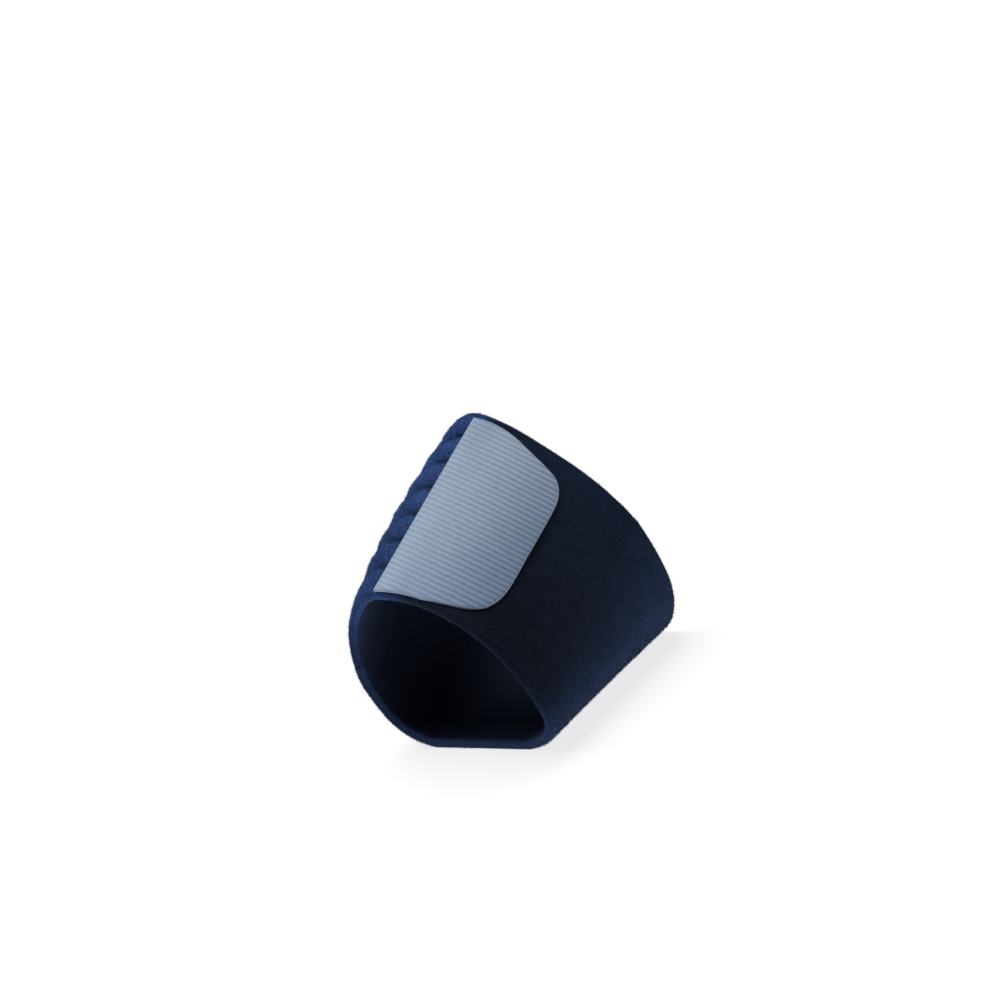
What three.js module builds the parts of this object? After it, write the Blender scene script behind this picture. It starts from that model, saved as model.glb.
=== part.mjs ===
// Metatarsal support band: a soft plush cuff for the middle of a right foot, closed on top by a ribbed tab.
// Millimetres and degrees. Toes lie towards -Y, the inner side of the foot is +X, and the sole rests on z = 0.
import * as THREE from 'three';

// Cloth thicknesses and clearances
const WALL = 2.8;
const RIM_FLAT_SHARE = 0.35;
const GAP = 0.3;

// The two open edges of the cuff. Each is a rounded loop in four quarters, with its own half width
// and height on each side of its crest. Lean and skew tip the edge along the foot with z and with x.
const EDGES = {
  toe: {
    y: -33.1, lean: -0.27, skew: -0.216, crest_x: 9, inner_half: 43, outer_half: 33,
    widest_z: 18.5, height: 49.6, inner_power: 2.14, outer_power: 1.56,
  },
  heel: {
    y: 34, lean: -0.249, skew: 0, crest_x: 3.4, inner_half: 30.1, outer_half: 37.5,
    widest_z: 33.7, height: 72.9, inner_power: 1.32, outer_power: 1.83,
  },
};
const BAND_WIDTH = 72;
const SOLE_POWER = 3.08;
const SOLE_PRESS = 1;
const SWELL_INNER = 0.2;
const SWELL_OUTER = 5.7;

// Where the pieces end, as angles round the cuff: 0 is the inner side, 90 the crest and 180 the outer side
const TAB_EDGE_ANGLE = 87.5;
const CLOSING_ANGLE = 72;
const OUTER_SEAM_ANGLE = 160;

// Quilting: stitch lines at equal steps across the panel from the toe edge, drifting towards the heel
// as they leave the tab
const FIRST_STITCH = 9.9;
const STITCH_STEP = 10.6;
const STITCH_COUNT = 6;
const STITCH_DRIFT = 10;
const DRIFT_LENGTH = 20;
const DRIFT_SHARE = 0.8;
const PILLOW_HEIGHT = 0.1;
const STITCH_SINK = 0.9;
const QUILT_FADE = 2.5;

// The tab: its reach round the foot from its sewn edge, at each distance across from the toe edge
const TAB_THICK = 0.7;
const RIB_HEIGHT = 0.3;
const RIB_PITCH = 1.8;
const TAB_OUTLINE = [
  { across: 0.4, reach: 18.5 },
  { across: 2.2, reach: 26.4 },
  { across: 4.2, reach: 30.8 },
  { across: 7.2, reach: 33.9 },
  { across: 11, reach: 35.3 },
  { across: 16, reach: 35.8 },
  { across: 22, reach: 35.3 },
  { across: 33, reach: 33.9 },
  { across: 49, reach: 32.2 },
  { across: 55, reach: 31.3 },
  { across: 58.4, reach: 30.1 },
  { across: 61, reach: 28.4 },
  { across: 62.7, reach: 25.9 },
  { across: 65.3, reach: 18.4 },
  { across: 67, reach: 13.8 },
  { across: 68.2, reach: 9.6 },
  { across: 68.7, reach: 5 },
];

// Grid steps
const COLUMN_STEP = 3.2;
const ROW_STEP = 9;
const PILLOW_ROWS = 5;
const RIM_ROWS = 3;
const TAB_COLUMNS = 13;
const ARC_STEPS = 300;
const SLOPE_STEP = 0.04;

const radians = THREE.MathUtils.degToRad;

function signedPower(value, power) {
  return Math.sign(value) * Math.abs(value) ** power;
}

// One point of an open edge at an angle round the cuff, with the sole pressed flat on z = 0.
function edgePoint(edge, angle) {
  const cosine = Math.cos(angle);
  const sine = Math.sin(angle);
  const onInnerSide = cosine > 0;
  const upperPower = onInnerSide ? edge.inner_power : edge.outer_power;
  const power = 2 / (sine > 0 ? upperPower : SOLE_POWER);
  const half = onInnerSide ? edge.inner_half : edge.outer_half;
  const tall = sine > 0 ? edge.height - edge.widest_z : edge.widest_z + SOLE_PRESS;
  const x = edge.crest_x + half * signedPower(cosine, power);
  const z = Math.max(edge.widest_z + tall * signedPower(sine, power), 0);
  return new THREE.Vector3(x, edge.y + edge.lean * z + edge.skew * x, z);
}

// The cuff's outer face: a straight run from the toe edge to the heel edge, with its sides swollen halfway.
function outerFace(angle, share) {
  const point = edgePoint(EDGES.toe, angle).lerp(edgePoint(EDGES.heel, angle), share);
  const sideways = Math.cos(angle);
  const swell = sideways > 0 ? SWELL_INNER : SWELL_OUTER;
  point.x += 4 * share * (1 - share) * swell * sideways;
  return point;
}

// A point at a depth below the outer face, measured square to it. A negative depth lies outside.
function below(angle, share, depth) {
  const round = outerFace(angle + SLOPE_STEP, share).sub(outerFace(angle - SLOPE_STEP, share));
  const along = outerFace(angle, share + SLOPE_STEP).sub(outerFace(angle, share - SLOPE_STEP));
  const inward = round.cross(along).normalize();
  return outerFace(angle, share).addScaledVector(inward, depth);
}

// Angles and the arc lengths that lead to them, round the cuff at one share of its width.
function arcLengths(from, to, share) {
  const angles = [from];
  const lengths = [0];
  let last = outerFace(from, share);
  for (let step = 1; step <= ARC_STEPS; step += 1) {
    const angle = THREE.MathUtils.lerp(from, to, step / ARC_STEPS);
    const point = outerFace(angle, share);
    angles.push(angle);
    lengths.push(lengths.at(-1) + point.distanceTo(last));
    last = point;
  }
  return { angles, lengths };
}

function angleAtLength(arc, length) {
  const found = arc.lengths.findIndex((value) => value >= length);
  const next = Math.max(found, 1);
  const span = arc.lengths[next] - arc.lengths[next - 1];
  const part = (length - arc.lengths[next - 1]) / span;
  return THREE.MathUtils.lerp(arc.angles[next - 1], arc.angles[next], part);
}

// Angles in equal arc steps between two ends, with a clearance left at each.
function evenAngles(fromDegrees, toDegrees, fromClearance, toClearance) {
  const arc = arcLengths(radians(fromDegrees), radians(toDegrees), 0.5);
  const length = arc.lengths.at(-1) - fromClearance - toClearance;
  const count = Math.round(length / COLUMN_STEP);
  return Array.from({ length: count + 1 }, (_, k) => angleAtLength(arc, fromClearance + (length * k) / count));
}

// A closed sheet: a grid of outer points, the same grid of inner points, and a border that joins them.
// Columns run round the cuff by growing angle and rows from the toe edge to the heel edge.
function sheetGeometry(columns, rows, outerPoint, innerPoint) {
  const positions = [];
  for (const place of [outerPoint, innerPoint]) {
    for (let column = 0; column < columns; column += 1) {
      for (let row = 0; row < rows; row += 1) {
        positions.push(...place(column, row).toArray());
      }
    }
  }
  const outer = (column, row) => column * rows + row;
  const inner = (column, row) => columns * rows + outer(column, row);
  const indices = [];
  const quad = (a, b, c, d) => indices.push(a, b, c, a, c, d);
  for (let column = 0; column < columns - 1; column += 1) {
    for (let row = 0; row < rows - 1; row += 1) {
      quad(outer(column, row), outer(column, row + 1), outer(column + 1, row + 1), outer(column + 1, row));
      quad(inner(column, row), inner(column + 1, row), inner(column + 1, row + 1), inner(column, row + 1));
    }
    const end = rows - 1;
    quad(outer(column, 0), outer(column + 1, 0), inner(column + 1, 0), inner(column, 0));
    quad(outer(column, end), inner(column, end), inner(column + 1, end), outer(column + 1, end));
  }
  for (let row = 0; row < rows - 1; row += 1) {
    const end = columns - 1;
    quad(outer(0, row), inner(0, row), inner(0, row + 1), outer(0, row + 1));
    quad(outer(end, row), outer(end, row + 1), inner(end, row + 1), inner(end, row));
  }
  const geometry = new THREE.BufferGeometry();
  geometry.setAttribute('position', new THREE.Float32BufferAttribute(positions, 3));
  geometry.setIndex(indices);
  geometry.computeVertexNormals();
  return geometry;
}

// How far the cloth is rounded off, at a distance from its edge.
const RIM = (WALL * (1 - RIM_FLAT_SHARE)) / 2;
function rimDrop(edgeDistance) {
  const left = Math.max(1 - edgeDistance / RIM, 0);
  return RIM * (1 - Math.sqrt(1 - left * left));
}

// Distances across the band, from the toe edge to the heel edge, with close rows on both rounded rims.
function acrossRows(middle) {
  const rim = Array.from({ length: RIM_ROWS }, (_, k) => RIM * (1 - Math.cos((Math.PI * k) / (2 * RIM_ROWS))));
  return [...rim, ...middle, ...rim.map((distance) => BAND_WIDTH - distance).reverse()];
}

function evenRows(from, to, step) {
  const count = Math.round((to - from) / step);
  return Array.from({ length: count + 1 }, (_, k) => THREE.MathUtils.lerp(from, to, k / count));
}

// The height of the quilting at a distance across: round pillows between sunk stitch lines.
function quiltHeight(across) {
  const last = FIRST_STITCH + (STITCH_COUNT - 1) * STITCH_STEP;
  let from = 0;
  let to = FIRST_STITCH;
  if (across > FIRST_STITCH) {
    const channel = Math.min(Math.floor((across - FIRST_STITCH) / STITCH_STEP), STITCH_COUNT - 1);
    from = FIRST_STITCH + channel * STITCH_STEP;
    to = from === last ? BAND_WIDTH : from + STITCH_STEP;
  }
  const place = (2 * (across - from)) / (to - from) - 1;
  const pillow = Math.sqrt(Math.max(1 - place * place, 0));
  const atBorder = across < RIM || across > BAND_WIDTH - RIM;
  return atBorder ? 0 : (PILLOW_HEIGHT + STITCH_SINK) * pillow - STITCH_SINK;
}

// How far a row has moved towards the heel at a length from the tab. A row takes no more than a share of
// the room that is left before the heel rim, and both rims stay where they are.
function stitchDrift(length, across) {
  const room = DRIFT_SHARE * (BAND_WIDTH - RIM - across);
  if (room <= 0) return 0;
  const shift = STITCH_DRIFT * (1 - Math.exp(-length / DRIFT_LENGTH));
  const freed = THREE.MathUtils.smoothstep(across, RIM, FIRST_STITCH);
  return room * (1 - Math.exp(-shift / room)) * freed;
}

// A stretch of the band between two angles. The pattern raises the outer face and moves rows across.
function bandGeometry(angles, across, pattern) {
  const edgeDrop = across.map((distance) => rimDrop(Math.min(distance, BAND_WIDTH - distance)));
  const place = (column, row, depth) => {
    const { drift } = pattern(angles[column], across[row]);
    return below(angles[column], (across[row] + drift) / BAND_WIDTH, depth);
  };
  const outerPoint = (column, row) => {
    const { raise } = pattern(angles[column], across[row]);
    return place(column, row, edgeDrop[row] - raise);
  };
  const innerPoint = (column, row) => place(column, row, WALL - edgeDrop[row]);
  return sheetGeometry(angles.length, across.length, outerPoint, innerPoint);
}

function plushGeometry() {
  const angles = evenAngles(OUTER_SEAM_ANGLE - 360, CLOSING_ANGLE, GAP / 2, GAP / 2);
  const across = acrossRows(evenRows(RIM, BAND_WIDTH - RIM, ROW_STEP));
  return bandGeometry(angles, across, () => ({ raise: 0, drift: 0 }));
}

// Rows across the quilted panel: each pillow has the same count of rows between its stitch lines.
function quiltRows() {
  const stitches = Array.from({ length: STITCH_COUNT }, (_, k) => FIRST_STITCH + k * STITCH_STEP);
  const borders = [RIM, ...stitches, BAND_WIDTH - RIM];
  const middle = [RIM];
  for (let k = 1; k < borders.length; k += 1) {
    const step = (borders[k] - borders[k - 1]) / PILLOW_ROWS;
    middle.push(...evenRows(borders[k - 1], borders[k], step).slice(1));
  }
  return acrossRows(middle);
}

function quiltGeometry() {
  const underTab = evenAngles(CLOSING_ANGLE, TAB_EDGE_ANGLE, GAP / 2, 0);
  const besideTab = evenAngles(TAB_EDGE_ANGLE, OUTER_SEAM_ANGLE, QUILT_FADE / 2, GAP / 2);
  const arc = arcLengths(radians(TAB_EDGE_ANGLE), radians(OUTER_SEAM_ANGLE), 0.5);
  const whole = arc.lengths.at(-1);
  const fromTab = (angle) => {
    const beside = angle > radians(TAB_EDGE_ANGLE);
    return beside ? arc.lengths.at(arc.angles.findIndex((value) => value >= angle)) : 0;
  };
  const pattern = (angle, across) => {
    const length = fromTab(angle);
    const tabFade = THREE.MathUtils.smoothstep(length, 0, QUILT_FADE);
    const seamFade = THREE.MathUtils.smoothstep(whole - length, 0, QUILT_FADE);
    return { raise: quiltHeight(across) * tabFade * seamFade, drift: stitchDrift(length, across) };
  };
  return bandGeometry([...underTab, ...besideTab], quiltRows(), pattern);
}

// The tab's reach round the foot at a distance across, read from the smooth curve through its outline rows.
function tabReach(curve, across) {
  const next = Math.max(curve.findIndex((point) => point.x >= across), 1);
  const part = (across - curve[next - 1].x) / (curve[next].x - curve[next - 1].x);
  return THREE.MathUtils.lerp(curve[next - 1].y, curve[next].y, THREE.MathUtils.clamp(part, 0, 1));
}

// Ribs run round the foot, so each rib is two rows of the tab: a valley and a crest.
function tabGeometry() {
  const outline = new THREE.SplineCurve(TAB_OUTLINE.map((row) => new THREE.Vector2(row.across, row.reach)));
  const curve = outline.getPoints(ARC_STEPS);
  const rows = evenRows(TAB_OUTLINE[0].across, TAB_OUTLINE.at(-1).across, RIB_PITCH / 2);
  const arcs = rows.map((across) => arcLengths(radians(TAB_EDGE_ANGLE), 0, across / BAND_WIDTH));
  const angleAt = (column, row) => {
    const reach = tabReach(curve, rows[row]);
    return angleAtLength(arcs[row], reach * (1 - column / TAB_COLUMNS));
  };
  const place = (depth) => (column, row) => below(angleAt(column, row), rows[row] / BAND_WIDTH, depth(row));
  const outerPoint = place((row) => -GAP - TAB_THICK - (row % 2) * RIB_HEIGHT);
  const innerPoint = place(() => -GAP);
  return sheetGeometry(TAB_COLUMNS + 1, rows.length, outerPoint, innerPoint);
}

function cloth(name, geometry, color, roughness) {
  const material = new THREE.MeshStandardMaterial({ color, roughness, metalness: 0 });
  const mesh = new THREE.Mesh(geometry, material);
  mesh.name = name;
  return mesh;
}

const part = new THREE.Group();
part.add(cloth('plush_band', plushGeometry(), 0x1a2440, 0.95));
part.add(cloth('quilted_panel', quiltGeometry(), 0x2b3d6b, 0.95));
part.add(cloth('closure_tab', tabGeometry(), 0x97a6b8, 0.7));

// The origin is the middle of the footprint, on the surface that the sole rests on.
const middle = new THREE.Box3().setFromObject(part).getCenter(new THREE.Vector3());
part.position.set(-middle.x, -middle.y, 0);

export default part;
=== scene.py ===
"""Metatarsal support band, dressed for rendering: plush cuff, quilted panel, stitching and ribbed tab."""

import math
from functools import lru_cache

import bpy
import numpy as np
from bpy.props import FloatProperty, FloatVectorProperty, IntProperty, PointerProperty
from bpy.types import Operator, Panel, PropertyGroup
from mathutils import Matrix, Vector


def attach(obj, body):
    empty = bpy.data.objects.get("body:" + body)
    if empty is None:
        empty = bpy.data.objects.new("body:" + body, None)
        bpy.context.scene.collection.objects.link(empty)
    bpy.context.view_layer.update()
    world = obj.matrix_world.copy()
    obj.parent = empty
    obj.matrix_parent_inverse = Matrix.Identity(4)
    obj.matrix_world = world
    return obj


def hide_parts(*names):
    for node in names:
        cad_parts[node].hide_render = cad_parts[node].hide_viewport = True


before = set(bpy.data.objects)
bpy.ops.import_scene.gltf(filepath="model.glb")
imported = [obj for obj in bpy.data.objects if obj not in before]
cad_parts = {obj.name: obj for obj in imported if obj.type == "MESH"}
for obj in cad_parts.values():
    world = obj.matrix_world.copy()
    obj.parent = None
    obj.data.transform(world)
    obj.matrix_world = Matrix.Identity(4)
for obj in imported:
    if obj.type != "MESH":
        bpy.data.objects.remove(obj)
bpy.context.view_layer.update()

bl_info = {
    "name": "Metatarsal Support Band",
    "version": (1, 0, 0),
    "blender": (4, 5, 0),
    "location": "View3D > Sidebar > Support Band",
    "description": "Builds the cloth pieces of a midfoot support band and the stage that it stands on",
    "category": "Add Mesh",
}

# Units: shapes are worked out in millimetres and radians, and become metres when a piece is made
MM = 0.001

# The cuff repeats the part's own driving sizes. Its shift puts the middle of its footprint at the origin.
CUFF_SHIFT = np.array([-7.961, 9.433, 0.0])
TOE_EDGE = {
    "y": -33.1, "lean": -0.27, "skew": -0.216, "crest_x": 9.0, "inner_half": 43.0, "outer_half": 33.0,
    "widest_z": 18.5, "height": 49.6, "inner_power": 2.14, "outer_power": 1.56,
}
HEEL_EDGE = {
    "y": 34.0, "lean": -0.249, "skew": 0.0, "crest_x": 3.4, "inner_half": 30.1, "outer_half": 37.5,
    "widest_z": 33.7, "height": 72.9, "inner_power": 1.32, "outer_power": 1.83,
}
BAND_WIDTH = 72.0
SOLE_POWER = 3.08
SOLE_PRESS = 1.0
SWELL_INNER = 0.2
SWELL_OUTER = 5.7
WALL = 2.8
LIP_ROUND = 1.05
SLOPE_STEP = 0.04

# Places as angles round the cuff: 0 is the inner side, 90 the crest and 180 the outer side
TAB_EDGE = math.radians(87.5)
CLOSING_SEAM = math.radians(72)
OUTER_SEAM = math.radians(160)
SOLE_TURN = math.radians(-45)
INSTEP_TURN = math.radians(7)

# Gaps where pieces meet, and the rounding of their edges at the outer seam
BUTT_GAP = 0.03
TAB_CLEARANCE = 0.3
SEAM_GROOVE = 0.9

# The plush lies flat near its seams and on the sole, and swells softly between them
SEAM_HOLD = 8.0
SOLE_HOLD = (1.0, 8.0)
PLUSH_SWELLS = (
    {"height": 0.22, "length": 26.0},
    {"height": 0.08, "length": 7.0},
)

# Quilting: the first stitch line, measured from the toe edge, and how the lines drift as they leave the tab
FIRST_STITCH = 9.9
STITCH_LINES = 6
STITCH_PITCH = 3.0
STITCH_DRIFT = 10.0
DRIFT_LENGTH = 20.0
DRIFT_SHARE = 0.8
LEAST_ROOM = 0.001

# Heights of the quilting, and the stretches near the tab, lips and seam over which they come or go
PILLOW_HEIGHT = 0.12
CROWN_CAP = 0.24
CREASE_DEPTH = 0.4
GROOVE_HEELWARD, GROOVE_TOEWARD = 1.1, 0.5
HEEL_FULLNESS = 1.0
QUILT_LEAD = 6.0
LEAD_FADE = (2.0, 5.0)
SEAM_FADE = 2.5
LIP_FADE = (0.3, 3.0)
TAB_HOLD = 4.0
FULL_ACROSS = (63.0, 68.0)
FULL_FADE = (6.0, 18.0)

# The quilting is puffed as a flat sheet of stiff light cloth, where a millimetre is a centimetre
PUFF_CLOTH = {
    "mass": 0.1, "tension_stiffness": 15.0, "compression_stiffness": 15.0, "bending_stiffness": 4.0,
    "shrink_min": -0.03, "shrink_max": -0.03, "use_pressure": True, "uniform_pressure_force": 20.0,
}
PUFF_SCALE = 0.01
PUFF_FRAMES = 16
PUFF_NOISE = 0.03
PUFF_CAP = 2.2
PUFF_LEVEL = 80
LOW_ARCH = 0.9
LINE_HOLD = 0.85
COLUMNS_A_STITCH = 4
ROWS_A_CHANNEL = 12

# Stitches: the share of the pitch that one fills, and in thread widths how far it dips and rises
STITCH_FILL = (0.78, 0.9)
STITCH_DIP, STITCH_RISE = 0.7, 1.1
STITCH_RINGS, STITCH_SIDES = 9, 8
BLUNT_POWER = 6
LEAST_END = 0.03

# The tab's reach round the foot from its sewn edge, at each distance across from the toe edge
TAB_OUTLINE = (
    {"across": 0.4, "reach": 18.5},
    {"across": 2.2, "reach": 26.4},
    {"across": 4.2, "reach": 30.8},
    {"across": 7.2, "reach": 33.9},
    {"across": 11.0, "reach": 35.3},
    {"across": 16.0, "reach": 35.8},
    {"across": 22.0, "reach": 35.3},
    {"across": 33.0, "reach": 33.9},
    {"across": 49.0, "reach": 32.2},
    {"across": 55.0, "reach": 31.3},
    {"across": 58.4, "reach": 30.1},
    {"across": 61.0, "reach": 28.4},
    {"across": 62.7, "reach": 25.9},
    {"across": 65.3, "reach": 18.4},
    {"across": 67.0, "reach": 13.8},
    {"across": 68.2, "reach": 9.6},
    {"across": 68.7, "reach": 5.0},
)

# The tape is sealed along its cut, where it keeps these shares of its thickness and of its ribs
SEALED_MARGIN = 0.4
MARGIN_STEPS = 4
CUT_THICKNESS = 0.8
CUT_RIBS = 0.25

# Ribs of the tape run square to the axis that it bends round
RIB_AXIS = np.array([0.398, 0.674, 0.622])

# Tints of the tape for its painted shade towards the free end and its painted light towards the heel
SHADED_TAPE_TINT = (0.65, 0.72, 0.85)
LIT_TAPE_TINT = (1.28, 1.27, 1.25)

# Sizes of the finishes' patterns, along the three parts of a piece's layer
SPECKLE_SIZES, PILE_GRAIN_SIZES, MOTTLE_SIZES = (0.6, 0.6, 500.0), (0.22, 0.22, 500.0), (9.0, 9.0, 500.0)
KNIT_COURSE, KNIT_WALE = 0.9, 0.7
FUZZ_SIZES = (0.12, 0.12, 1.0)
WANDER_SIZES, WEAR_SIZES = (9.0, 6.0, 50.0), (14.0, 9.0, 50.0)
SLUB_SIZES, TAPE_GRAIN_SIZES = (4.0, 0.4, 50.0), (0.28, 0.45, 50.0)
FLOOR_CLOUD_SIZES = (0.4, 0.4, 0.4)
PILE_BUMP, TAPE_BUMP, THREAD_BUMP = 0.3, 0.08, 0.05

# Pile: how tufts lean, how long and how mixed in tone they are, and where they are trimmed
ROOT_STEP = 0.12
LEAN_SPREAD = 0.32
BRUSHED_LEAN = 0.22
TUFT_LENGTHS = (0.55, 1.35)
OWN_TONE, CLUMP_TONE = 0.3, 0.7
CLUMP_SIZE = 0.6
TONE_GAIN, TONE_DROP = 1.7, 0.35
LEAST_TUFT = 0.25
GROOVE_TRIM = 1.5
TAB_SPARE = 0.25
SOLE_TRIM = (-0.9, 0.1)

# Painted light and shade in the pile's tone on the plush, on the quilted panel and along their edges
TOE_PAINTED_LIGHT, HEEL_PAINTED_LIGHT = 0.06, 0.70
SOLE_TOE_PAINTED_LIGHT, SOLE_HEEL_PAINTED_LIGHT = 1.575, 0.84
LIP_PAINTED_LIGHT, LIP_LIGHT_FADE = 0.28, 4.5
QUILT_TOE_PAINTED_LIGHT, QUILT_HEEL_PAINTED_LIGHT = 0.78, 1.13
COVERED_PAINTED_SHADE, SEAM_PAINTED_SHADE = 0.3, 0.4
SEAM_SHADE_LEAD = 12.0

# The cloth layer's mark for the inside, and the depth past which the inner side has turned the corner
INSIDE = -1.0
LINING_DEPTH = 0.1

# Grid steps and seeds
CLOTH_STEP = 0.75
QUILT_STEP = 0.45
LIP_ROWS = 6
ROWS_A_RIB = 8
TAB_COLUMNS = 60
CURVE_STEPS = 400
WAVE_COUNT = 8
PLUSH_WAVE_SEED, PUFF_SEED, PLUSH_PILE_SEED, QUILT_PILE_SEED, THREAD_SEED = 11, 23, 37, 41, 53

# The camera stands where the photograph was taken from, a metre away, and is rolled as it was
CAMERA_AZIMUTH = math.radians(46.09)
CAMERA_ELEVATION = math.radians(12.819)
CAMERA_ROLL = math.radians(21.879)
CAMERA_DISTANCE = 1000.0
CAMERA_CENTRE = CUFF_SHIFT + (0.0, 0.0, 30.0)
PIXELS_A_MM = 3.863
IMAGE_SIDE = 1000
CENTRE_PIXEL = (492.2, 588.9)
SENSOR_WIDTH = 36.0

# From the cuff towards the key light
TOWARD_KEY = (-0.30, 0.10, 0.95)


# Settings that a user would change


def length_setting(name, description, default):
    """A length in metres."""
    return FloatProperty(name=name, description=description, default=default, unit="LENGTH")


def colour_setting(name, description, default):
    """A colour."""
    return FloatVectorProperty(name=name, description=description, default=default, size=3, subtype="COLOR")


def count_setting(name, description, default):
    """A number of tufts."""
    return IntProperty(name=name, description=description, default=default, min=0, max=50000)


class PlushSettings(PropertyGroup):
    """Sizes and colours of the plush cuff."""

    pile_length: length_setting("Pile length", "Mean length of the pile", 0.00055)
    pile_width: length_setting("Pile width", "Width of a tuft at its root", 0.00014)
    pile_count: count_setting("Pile count", "Tufts on the plush cuff", 44000)
    # Near black between the tufts: partly painted shade in the depth of the pile
    ground: colour_setting("Ground", "Colour between the tufts", (0.0030, 0.0035, 0.0055))
    tip: colour_setting("Tip", "Colour of the pile's tips", (0.020, 0.046, 0.118))
    sheen: FloatProperty(
        name="Sheen", description="Strength of the pile's sheen", default=0.2, min=0, max=1,
        subtype="FACTOR")
    lining: colour_setting("Lining", "Colour of the inside", (0.012, 0.019, 0.042))


class QuiltSettings(PropertyGroup):
    """Sizes and colours of the quilted panel."""

    stitch_step: length_setting("Channel width", "Distance between stitch lines", 0.0106)
    stitch_sink: length_setting("Stitch depth", "How deep the stitching pulls the cloth in", 0.0019)
    pile_count: count_setting("Pile count", "Tufts on the quilted panel", 17000)
    thread_width: length_setting("Thread width", "Width of the sewing thread", 0.0004)
    # Near black between the tufts: partly painted shade in the depth of the pile
    ground: colour_setting("Ground", "Colour between the tufts", (0.003, 0.006, 0.014))
    # Far paler than the plush's tip though it is the same cloth: painted light on the quilt's lit side
    tip: colour_setting("Tip", "Colour of the pile's tips", (0.070, 0.165, 0.510))
    # Near black: partly painted shade of the stitch groove that the thread lies in
    thread: colour_setting("Thread", "Colour of the thread", (0.002, 0.003, 0.007))


class TabSettings(PropertyGroup):
    """Sizes and colours of the closing tab."""

    thickness: length_setting("Thickness", "Thickness of the tape", 0.0007)
    rib_pitch: length_setting("Rib pitch", "Distance from rib to rib along their axis", 0.00138)
    rib_height: length_setting("Rib height", "Height of a rib", 0.0001)
    # The darker valley colour is partly painted shade between the ribs
    crest: colour_setting("Crest", "Colour of the ribs", (0.345, 0.425, 0.525))
    valley: colour_setting("Valley", "Colour between the ribs", (0.165, 0.230, 0.335))
    margin: colour_setting("Margin", "Colour of the sealed cut edge", (0.27, 0.37, 0.50))


class StageSettings(PropertyGroup):
    """Floor and light."""

    floor_radius: length_setting("Floor radius", "Radius of the floor", 40.0)
    floor: colour_setting("Floor", "Colour of the floor", (0.25, 0.25, 0.252))
    floor_glow: FloatProperty(
        name="Floor glow", description="Light that the floor gives by itself", default=3.2)
    key_strength: FloatProperty(
        name="Key strength", description="Strength of the soft key light", default=3.2)
    key_softness: FloatProperty(
        name="Key softness", description="Angle that the key light fills", default=math.radians(60),
        subtype="ANGLE")
    ambient: FloatProperty(
        name="Ambient", description="Strength of the light from all round", default=0.08)


# The cuff's shape


def between(first, second, share):
    """The value at a share of the way from a first value to a second."""
    return first + (second - first) * share


def smooth_step(value, low, high):
    """0 below low, 1 above high, and 3 t^2 - 2 t^3 between them."""
    part = np.clip((value - low) / (high - low), 0, 1)
    return part * part * (3 - 2 * part)


def signed_power(value, power):
    """The size of a value raised to a power, with the value's own sign."""
    return np.sign(value) * np.abs(value) ** power


def unit(vectors):
    """Vectors at length one."""
    return vectors / np.linalg.norm(vectors, axis=-1, keepdims=True)


def edge_points(edge, angle):
    """One open edge: a rounded loop in four quarters, each |x/half|^n + |z/tall|^n = 1.

    The loop is cut off flat at the floor. Lean and skew tip it along the foot in proportion to z and to x.
    """
    cosine = np.cos(angle)
    sine = np.sin(angle)
    inner = cosine > 0
    upper_power = np.where(inner, edge["inner_power"], edge["outer_power"])
    power = 2 / np.where(sine > 0, upper_power, SOLE_POWER)
    half = np.where(inner, edge["inner_half"], edge["outer_half"])
    tall = np.where(sine > 0, edge["height"] - edge["widest_z"], edge["widest_z"] + SOLE_PRESS)
    x = edge["crest_x"] + half * signed_power(cosine, power)
    z = np.maximum(edge["widest_z"] + tall * signed_power(sine, power), 0)
    return np.stack([x, edge["y"] + edge["lean"] * z + edge["skew"] * x, z], axis=-1)


def outer_face(angle, share):
    """The cuff's outer face: straight from toe edge to heel edge, its sides swollen by 4 s (1 - s)."""
    angle, share = np.broadcast_arrays(angle, share)
    points = between(edge_points(TOE_EDGE, angle), edge_points(HEEL_EDGE, angle), share[..., None])
    sideways = np.cos(angle)
    swell = np.where(sideways > 0, SWELL_INNER, SWELL_OUTER)
    points[..., 0] += 4 * share * (1 - share) * swell * sideways
    return points


def below(angle, share, depth):
    """A point at a depth under the outer face, measured square to it. A negative depth lies outside."""
    angle, share, depth = np.broadcast_arrays(angle, share, depth)
    round_it = outer_face(angle + SLOPE_STEP, share) - outer_face(angle - SLOPE_STEP, share)
    along = outer_face(angle, share + SLOPE_STEP) - outer_face(angle, share - SLOPE_STEP)
    return outer_face(angle, share) + unit(np.cross(round_it, along)) * depth[..., None]


def lengths_along(points):
    """Lengths from the first of a row of points to each of them, along the row."""
    steps = np.linalg.norm(np.diff(points, axis=-2), axis=-1)
    return np.concatenate([np.zeros_like(steps[..., :1]), np.cumsum(steps, axis=-1)], axis=-1)


# Once round the cuff at half its width, from the outer seam: angles, and the arc lengths that lead to them
ROUND_ANGLES = np.linspace(OUTER_SEAM - 2 * math.pi, OUTER_SEAM, 4 * CURVE_STEPS)
ROUND_ARCS = lengths_along(outer_face(ROUND_ANGLES, 0.5))


def arc_at(angle):
    """Arc length round the cuff at an angle."""
    return float(np.interp(angle, ROUND_ANGLES, ROUND_ARCS))


def angle_at(arc):
    """Angle round the cuff at an arc length."""
    return np.interp(arc, ROUND_ARCS, ROUND_ANGLES)


GIRTH = float(ROUND_ARCS[-1])
CLOSING_ARC = arc_at(CLOSING_SEAM)
TAB_EDGE_ARC = arc_at(TAB_EDGE)
SOLE_ARC = arc_at(SOLE_TURN)
INSTEP_ARC = arc_at(INSTEP_TURN)
PLUSH_ENDS = (BUTT_GAP, CLOSING_ARC - BUTT_GAP)
QUILT_ENDS = (CLOSING_ARC + BUTT_GAP, GIRTH - BUTT_GAP)

# The wall's section on its outer side: half a flat front, a quarter round and the face, then the same back
FRONT_HALF = WALL / 2 - LIP_ROUND
QUARTER = LIP_ROUND * math.pi / 2
SECTION = 2 * (FRONT_HALF + QUARTER) + BAND_WIDTH - 2 * LIP_ROUND


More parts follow.
